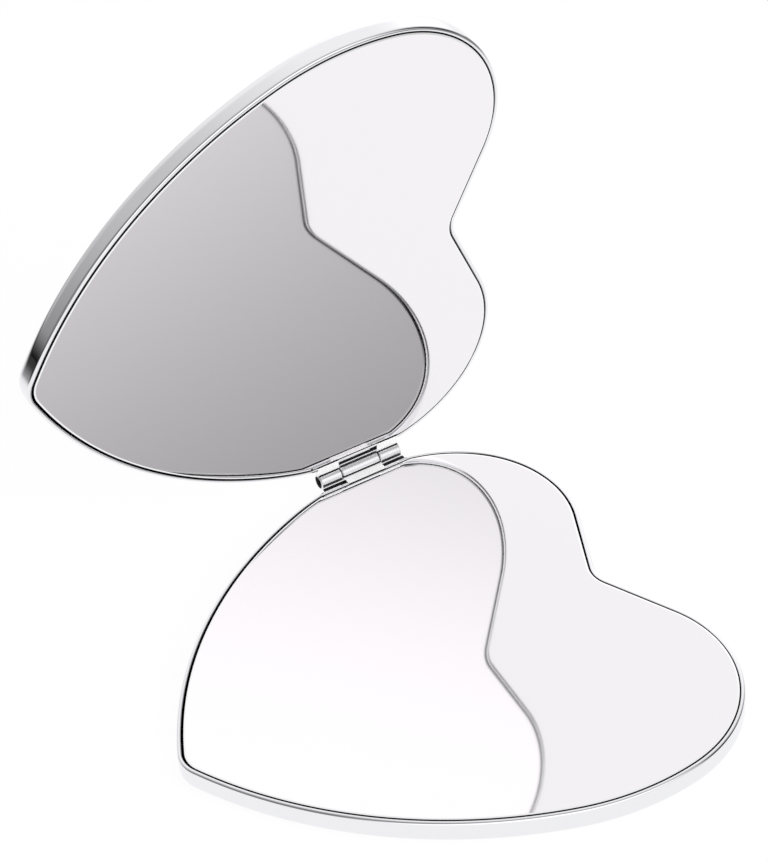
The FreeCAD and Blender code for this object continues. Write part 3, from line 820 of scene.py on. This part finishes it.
def rise(tree, vector, way, start, end, strength=1.0):
    """Light that changes along a way, by how far a vector reaches along it: none up to the start, the full
    strength from the end on, and a smooth rise between them."""
    along = add_node(tree, "ShaderNodeVectorMath", {0: vector, 1: way}, operation="DOT_PRODUCT")
    inputs = {"Value": along.outputs["Value"], "From Min": start, "From Max": end, "To Max": strength}
    return add_node(tree, "ShaderNodeMapRange", inputs, interpolation_type="SMOOTHSTEP").outputs[0]


def white_sheet():
    """Matt white paper that counts as plain white for the camera, and in reflections as far as it is lit."""
    material = bpy.data.materials.new("white_ground")
    material.use_nodes = True
    tree = material.node_tree
    tree.nodes.clear()
    place = add_node(tree, "ShaderNodeTexCoord").outputs["Object"]
    inputs = {0: rise(tree, place, right_front, *right_fade, 1 - dim_level), 1: dim_level}
    dim = add_node(tree, "ShaderNodeMath", inputs, operation="ADD").outputs[0]
    inputs = {0: rise(tree, place, left_behind, *left_fade), 1: dim}
    lit = add_node(tree, "ShaderNodeMath", inputs, operation="MULTIPLY").outputs[0]
    path = add_node(tree, "ShaderNodeLightPath")
    seen = path.outputs["Is Camera Ray"]
    lit = add_node(tree, "ShaderNodeMath", {0: seen, 1: lit}, operation="MAXIMUM").outputs[0]
    white = add_node(tree, "ShaderNodeEmission", {"Strength": lit})
    paper = add_node(tree, "ShaderNodeBsdfDiffuse", {"Color": colour("#f8f8f8")})
    for kind in ("Is Glossy Ray", "Is Transmission Ray"):
        either = add_node(tree, "ShaderNodeMath", {0: seen, 1: path.outputs[kind]}, operation="MAXIMUM")
        seen = either.outputs[0]
    share = add_node(tree, "ShaderNodeMath", {0: seen, 1: 1 - shadow_share}, operation="MULTIPLY")
    inputs = {0: share.outputs[0], 1: paper.outputs[0], 2: white.outputs[0]}
    mix = add_node(tree, "ShaderNodeMixShader", inputs)
    add_node(tree, "ShaderNodeOutputMaterial", {"Surface": mix.outputs[0]})
    return material


corners = [(side * floor_half, end, -floor_drop) for side, end in
           ((-1, -floor_half), (1, -floor_half), (1, floor_end), (-1, floor_end))]
sheet = bpy.data.meshes.new("floor")
sheet.from_pydata(corners, [], [[0, 1, 2, 3]])
sheet.materials.append(white_sheet())
floor = bpy.data.objects.new("floor", sheet)
bpy.context.scene.collection.objects.link(floor)
print(f"floor {2 * floor_half:.0f} m wide, ending {floor_end} m behind")

# %% [markdown]
# ## Studio light
# Plate and mirrors have no colour of their own: what they show is the room. So the room is the main part
# of this look. It is a light tent, brightest behind the compact on the right, where the base's mirror
# looks. From there it fades in two steps to the left, which gives the lid's wall its shades, and below the
# table's height on that side it is dark. The wall on the right is dark too, and so is a patch in front of it
# and above it: both draw grey lines along the rims. In front a wide soft light fills everything below the
# ceiling, and the two mirrors pass its fading upper edge to each other. Area lamps could make it, but their
# hard outlines would show in the mirrors, so the room is painted on the world by direction. The camera
# itself sees plain white.

# %% Paint the room
tent_level = 0.225
darkest_level = 0.02
front_level = 0.645
front_way = (0.0, -1.0, 0.0)
front_edge = (0.366, 0.69)
front_lift = 0.42
lift_way = (-0.6, 0.0, 1.0)
lift_edge = (0.043, 0.235)
table_way = (0.2, 0.0, 1.0)
table_edge = (-0.24, -0.12)
pools = [
    # direction that a pool lies in, degrees of its full and of its fading edge, strength added or taken away
    ((0.35, 0.75, 0.55), 57.4, 83.6, 0.375),
    ((0.35, 0.75, 0.55), 19.0, 58.0, 0.40),
    ((0.74, 0.67, 0.0), 8.0, 45.0, 0.3),
    ((0.93, -0.25, 0.0), 18.0, 45.0, -0.33),
    ((0.70, -0.55, 0.45), 10.0, 24.0, -0.4),
]


def pool(tree, ray, toward, full, fade, strength):
    """A soft pool of light: the strength within the full angle, fading smoothly to none at the outer one."""
    middle = np.array(toward) / np.linalg.norm(toward)
    cosines = [math.cos(math.radians(angle)) for angle in (fade, full)]
    return rise(tree, ray, middle, *cosines, strength)


def paint_room():
    """World light: an even level, plus the front light with its brighter upper part, plus the pools, but no
    less than the darkest level, all fading out below the table's height. The camera gets plain white."""
    world = bpy.data.worlds.new("light_tent")
    world.use_nodes = True
    tree = world.node_tree
    tree.nodes.clear()
    ray = add_node(tree, "ShaderNodeTexCoord").outputs["Generated"]
    inputs = {0: front_level, 1: rise(tree, ray, lift_way, *lift_edge, front_lift)}
    lifted = add_node(tree, "ShaderNodeMath", inputs, operation="ADD").outputs[0]
    inputs = {0: rise(tree, ray, front_way, *front_edge), 1: lifted, 2: tent_level}
    level = add_node(tree, "ShaderNodeMath", inputs, operation="MULTIPLY_ADD").outputs[0]
    for row in pools:
        inputs = {0: level, 1: pool(tree, ray, *row)}
        level = add_node(tree, "ShaderNodeMath", inputs, operation="ADD").outputs[0]
    level = add_node(tree, "ShaderNodeMath", {0: level, 1: darkest_level}, operation="MAXIMUM").outputs[0]
    inputs = {0: level, 1: rise(tree, ray, table_way, *table_edge)}
    level = add_node(tree, "ShaderNodeMath", inputs, operation="MULTIPLY").outputs[0]
    seen = add_node(tree, "ShaderNodeLightPath").outputs["Is Camera Ray"]
    shown = add_node(tree, "ShaderNodeMix", {"Factor": seen, "A": level, "B": 1.0})
    white = (1.0, 1.0, 1.0, 1.0)
    room = add_node(tree, "ShaderNodeBackground", {"Color": white, "Strength": shown.outputs["Result"]})
    add_node(tree, "ShaderNodeOutputWorld", {"Surface": room.outputs[0]})
    bpy.context.scene.world = world


paint_room()
print(f"room at {tent_level}, with {len(pools)} pools")

# %% [markdown]
# ## Lamps
# The room lights metal and glass, but matt parts and the shadow need lamps that stand somewhere. A soft box
# overhead gives the compact its shadow. The hinge lies in the corner between the two halves, where matt
# plating gets little light, so a second soft box from the front fills that corner. Polished metal would
# only show both as bright squares, so they are kept out of its reflections.

# %% Hang the soft boxes
softbox_size = 0.3
softbox_distance = 0.5
softboxes = {
    # name of a soft box: the direction that it stands in, and its brightness
    "overhead_softbox": ((0.0, 0.0, 1.0), 2.0),
    "front_fill": ((0.2, -0.75, 0.63), 5.0),
}


def hang_softbox(name, toward, brightness):
    """A square lamp that faces the compact. Its power is the brightness times its area times pi."""
    lamp = bpy.data.lights.new(name, "AREA")
    lamp.shape = "SQUARE"
    lamp.size = softbox_size
    lamp.energy = math.pi * softbox_size ** 2 * brightness
    softbox = bpy.data.objects.new(name, lamp)
    softbox.location = softbox_distance * toward
    softbox.rotation_euler = toward.to_track_quat("Z", "Y").to_euler()
    softbox.visible_glossy = False
    bpy.context.scene.collection.objects.link(softbox)
    print(f"{name}: {lamp.energy:.2f} W")


for name, (way, brightness) in softboxes.items():
    hang_softbox(name, Vector(way), brightness)

# %% [markdown]
# ## Camera
# The photograph was taken from the front, to the left of the heart's point and well above the table, with
# a long lens and a slight tilt. The camera is placed by those angles round a point on the hinge, which
# is easier to adjust than bare coordinates, and its lens counts on the picture's longer side.

# %% Set the camera
camera_left = math.radians(26.469)
camera_above = math.radians(37.82)
camera_tilt = math.radians(-6.004)
camera_distance = 373.36
camera_aim = np.array([12.333, 26.796, 13.3])
camera_lens = 131.31

back = np.array([-math.sin(camera_left) * math.cos(camera_above),
                 -math.cos(camera_left) * math.cos(camera_above),
                 math.sin(camera_above)])
level = np.array([math.cos(camera_left), -math.sin(camera_left), 0.0])
upright = np.cross(back, level)
right = level * math.cos(camera_tilt) + upright * math.sin(camera_tilt)
up = upright * math.cos(camera_tilt) - level * math.sin(camera_tilt)
stand = (camera_aim + camera_distance * back) * MM

view = bpy.data.cameras.new("camera")
view.lens = camera_lens
view.clip_start = 0.01
camera = bpy.data.objects.new("camera", view)
camera.matrix_world = Matrix([[*row, place] for row, place in zip(np.stack([right, up, back], axis=1), stand)]
                             + [[0, 0, 0, 1]])
bpy.context.scene.collection.objects.link(camera)
bpy.context.scene.camera = camera
bpy.context.scene.view_settings.view_transform = "Standard"
print("camera at", np.round(stand, 4))
